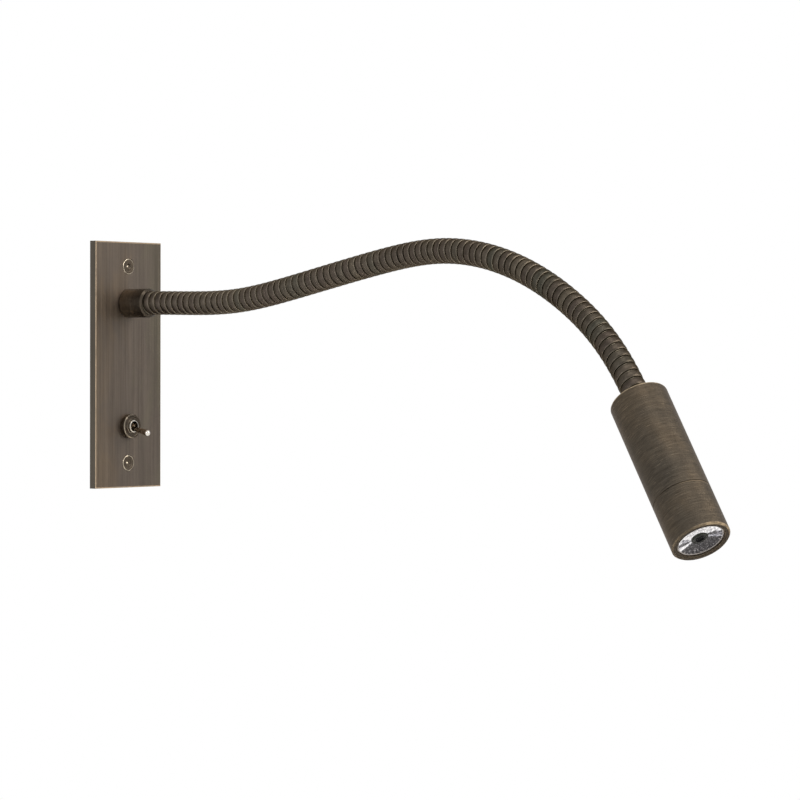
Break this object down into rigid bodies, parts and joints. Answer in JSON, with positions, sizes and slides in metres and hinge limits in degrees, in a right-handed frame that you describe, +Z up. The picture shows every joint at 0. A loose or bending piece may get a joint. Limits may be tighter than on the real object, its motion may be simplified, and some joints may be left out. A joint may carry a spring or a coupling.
{
  "type": "wall reading lamp",
  "caption": "Bedside wall reading lamp: brushed wall plate with a toggle switch, a banded flexible arm and a small turned cylinder head with a clear lens.",
  "frame": {"origin": "centre of the back face of the wall plate, on the wall", "axes": "+Z up, +Y into the wall, the arm stands out towards -Y, +X to the right seen from the front"},
  "size_m": [0.0917, 0.4132, 0.1381],
  "materials": {
    "plate_bronze": "antique bronze, brushed along its height",
    "screw_bronze": "antique bronze plated",
    "collar_bronze": "dark antique bronze, smooth",
    "neck_bronze": "antique bronze plated winding",
    "head_bronze": "antique bronze, turned",
    "ring_bronze": "antique bronze",
    "bright_nickel": "bright nickel plated",
    "zinc_steel": "zinc plated",
    "plain_brass": "plain brass",
    "bare_aluminium": "turned, bare",
    "board_white": "white solder mask on an aluminium core",
    "chip_yellow": "phosphor under a clear dome",
    "solder": "solder",
    "clear_lens": "clear moulded lens",
    "holder_white": "white moulding",
    "black_plastic": "black moulding",
    "black_insulation": "black silicone insulation",
    "red_insulation": "red silicone insulation"
  },
  "bodies": {
    "base": {"wall_plate": "plate_bronze", "fixing_screws": "screw_bronze", "arm_collar": "collar_bronze", "collar_washer": "zinc_steel", "collar_nut": "zinc_steel", "lead_bush": "black_plastic", "neck_section_01": "neck_bronze", "black_lead": "black_insulation", "red_lead": "red_insulation", "switch_washer": "zinc_steel", "switch_ring": "ring_bronze", "switch_bushing": "bright_nickel", "switch_frame": "zinc_steel", "switch_case": "black_plastic", "switch_terminals": "plain_brass"},
    "neck_02": {"neck_section_02": "neck_bronze"},
    "neck_03": {"neck_section_03": "neck_bronze"},
    "neck_04": {"neck_section_04": "neck_bronze"},
    "neck_05": {"neck_section_05": "neck_bronze"},
    "neck_06": {"neck_section_06": "neck_bronze"},
    "neck_07": {"neck_section_07": "neck_bronze"},
    "neck_08": {"neck_section_08": "neck_bronze"},
    "neck_09": {"neck_section_09": "neck_bronze"},
    "neck_10": {"neck_section_10": "neck_bronze"},
    "neck_11": {"neck_section_11": "neck_bronze"},
    "neck_12": {"neck_section_12": "neck_bronze"},
    "neck_13": {"neck_section_13": "neck_bronze"},
    "neck_14": {"neck_section_14": "neck_bronze"},
    "neck_15": {"neck_section_15": "neck_bronze"},
    "neck_16": {"neck_section_16": "neck_bronze"},
    "neck_17": {"neck_section_17": "neck_bronze"},
    "neck_18": {"neck_section_18": "neck_bronze"},
    "neck_19": {"neck_section_19": "neck_bronze"},
    "neck_20": {"neck_section_20": "neck_bronze"},
    "neck_21": {"neck_section_21": "neck_bronze"},
    "head": {"head_ferrule": "plain_brass", "head_nut": "zinc_steel", "head_barrel": "head_bronze", "front_bezel": "head_bronze", "heat_sink": "bare_aluminium", "lamp_board": "board_white", "lamp_chip": "chip_yellow", "board_screws": "zinc_steel", "solder_joints": "solder", "lens": "clear_lens", "lens_holder": "holder_white", "neck_section_22": "neck_bronze"},
    "lever": {"switch_lever": "bright_nickel", "switch_plunger": "black_plastic"},
    "rocker": {"switch_rocker": "plain_brass"}
  },
  "joints": [
    {"name": "neck_bend_01_lift", "type": "hinge", "parent": "base", "child": "neck_02", "pos_m": [-0.00019, -0.03469, 0.02984], "axis": [-0.9997, 0.0243, 0.0004], "range_deg": [-10, 10], "deforming": ["black_lead", "red_lead"]},
    {"name": "neck_bend_02_swing", "type": "hinge", "parent": "neck_02", "child": "neck_03", "pos_m": [-0.00075, -0.05037, 0.02959], "axis": [0, -0.0097, 1], "range_deg": [-10, 10]},
    {"name": "neck_bend_03_lift", "type": "hinge", "parent": "neck_03", "child": "neck_04", "pos_m": [-0.00162, -0.06604, 0.02971], "axis": [-0.9981, 0.0621, -0.0019], "range_deg": [-10, 10]},
    {"name": "neck_bend_04_swing", "type": "hinge", "parent": "neck_04", "child": "neck_05", "pos_m": [-0.00265, -0.08166, 0.03071], "axis": [0, 0.1, 0.995], "range_deg": [-10, 10]},
    {"name": "neck_bend_05_lift", "type": "hinge", "parent": "neck_05", "child": "neck_06", "pos_m": [-0.00365, -0.09718, 0.03277], "axis": [-0.9983, 0.0568, -0.0091], "range_deg": [-10, 10]},
    {"name": "neck_bend_06_swing", "type": "hinge", "parent": "neck_06", "child": "neck_07", "pos_m": [-0.00437, -0.11261, 0.03553], "axis": [0, 0.1912, 0.9816], "range_deg": [-10, 10]},
    {"name": "neck_bend_07_lift", "type": "hinge", "parent": "neck_07", "child": "neck_08", "pos_m": [-0.0046, -0.12798, 0.03866], "axis": [-1, -0.0001, 0], "range_deg": [-10, 10]},
    {"name": "neck_bend_08_swing", "type": "hinge", "parent": "neck_08", "child": "neck_09", "pos_m": [-0.00452, -0.14334, 0.04189], "axis": [0, 0.2046, 0.9789], "range_deg": [-10, 10]},
    {"name": "neck_bend_09_lift", "type": "hinge", "parent": "neck_09", "child": "neck_10", "pos_m": [-0.0046, -0.15872, 0.04501], "axis": [-0.9998, 0.0199, -0.0039], "range_deg": [-10, 10]},
    {"name": "neck_bend_10_swing", "type": "hinge", "parent": "neck_10", "child": "neck_11", "pos_m": [-0.0053, -0.17414, 0.04779], "axis": [0, 0.1619, 0.9868], "range_deg": [-10, 10]},
    {"name": "neck_bend_11_lift", "type": "hinge", "parent": "neck_11", "child": "neck_12", "pos_m": [-0.00681, -0.18961, 0.04993], "axis": [-0.9934, 0.1139, -0.0123], "range_deg": [-10, 10]},
    {"name": "neck_bend_12_swing", "type": "hinge", "parent": "neck_12", "child": "neck_13", "pos_m": [-0.00878, -0.20514, 0.05098], "axis": [0, 0.0218, 0.9998], "range_deg": [-10, 10]},
    {"name": "neck_bend_13_lift", "type": "hinge", "parent": "neck_13", "child": "neck_14", "pos_m": [-0.01087, -0.22068, 0.05047], "axis": [-0.991, 0.1337, 0.0118], "range_deg": [-10, 10]},
    {"name": "neck_bend_14_swing", "type": "hinge", "parent": "neck_14", "child": "neck_15", "pos_m": [-0.01304, -0.23606, 0.04828], "axis": [0, -0.1922, 0.9814], "range_deg": [-10, 10]},
    {"name": "neck_bend_15_lift", "type": "hinge", "parent": "neck_15", "child": "neck_16", "pos_m": [-0.01541, -0.25111, 0.04455], "axis": [-0.9869, 0.1543, 0.0462], "range_deg": [-10, 10]},
    {"name": "neck_bend_16_swing", "type": "hinge", "parent": "neck_16", "child": "neck_17", "pos_m": [-0.01812, -0.2657, 0.03947], "axis": [0, -0.3696, 0.9292], "range_deg": [-10, 10]},
    {"name": "neck_bend_17_lift", "type": "hinge", "parent": "neck_17", "child": "neck_18", "pos_m": [-0.02113, -0.27976, 0.03321], "axis": [-0.9798, 0.1795, 0.0885], "range_deg": [-10, 10]},
    {"name": "neck_bend_18_swing", "type": "hinge", "parent": "neck_18", "child": "neck_19", "pos_m": [-0.02438, -0.29325, 0.02588], "axis": [0, -0.5113, 0.8594], "range_deg": [-10, 10]},
    {"name": "neck_bend_19_lift", "type": "hinge", "parent": "neck_19", "child": "neck_20", "pos_m": [-0.0278, -0.30607, 0.01751], "axis": [-0.9748, 0.1809, 0.1306], "range_deg": [-10, 10]},
    {"name": "neck_bend_20_swing", "type": "hinge", "parent": "neck_20", "child": "neck_21", "pos_m": [-0.03139, -0.31794, 0.00791], "axis": [0, -0.6707, 0.7417], "range_deg": [-10, 10]},
    {"name": "neck_bend_21_lift", "type": "hinge", "parent": "neck_21", "child": "head", "pos_m": [-0.03514, -0.3287, -0.00287], "axis": [-0.97, 0.1634, 0.18], "range_deg": [-10, 10]},
    {"name": "lever_flip", "type": "hinge", "parent": "base", "child": "lever", "pos_m": [0, -0.003, -0.03], "axis": [-1, 0, 0], "range_deg": [0, 26]},
    {"name": "rocker_tip", "type": "hinge", "parent": "base", "child": "rocker", "pos_m": [0, 0.00825, -0.03], "axis": [-1, 0, 0], "range_deg": [-18.01, 0]}
  ],
  "couplings": [
    {"joint": "rocker_tip", "follows": "lever_flip", "ratio": -0.69231}
  ]
}
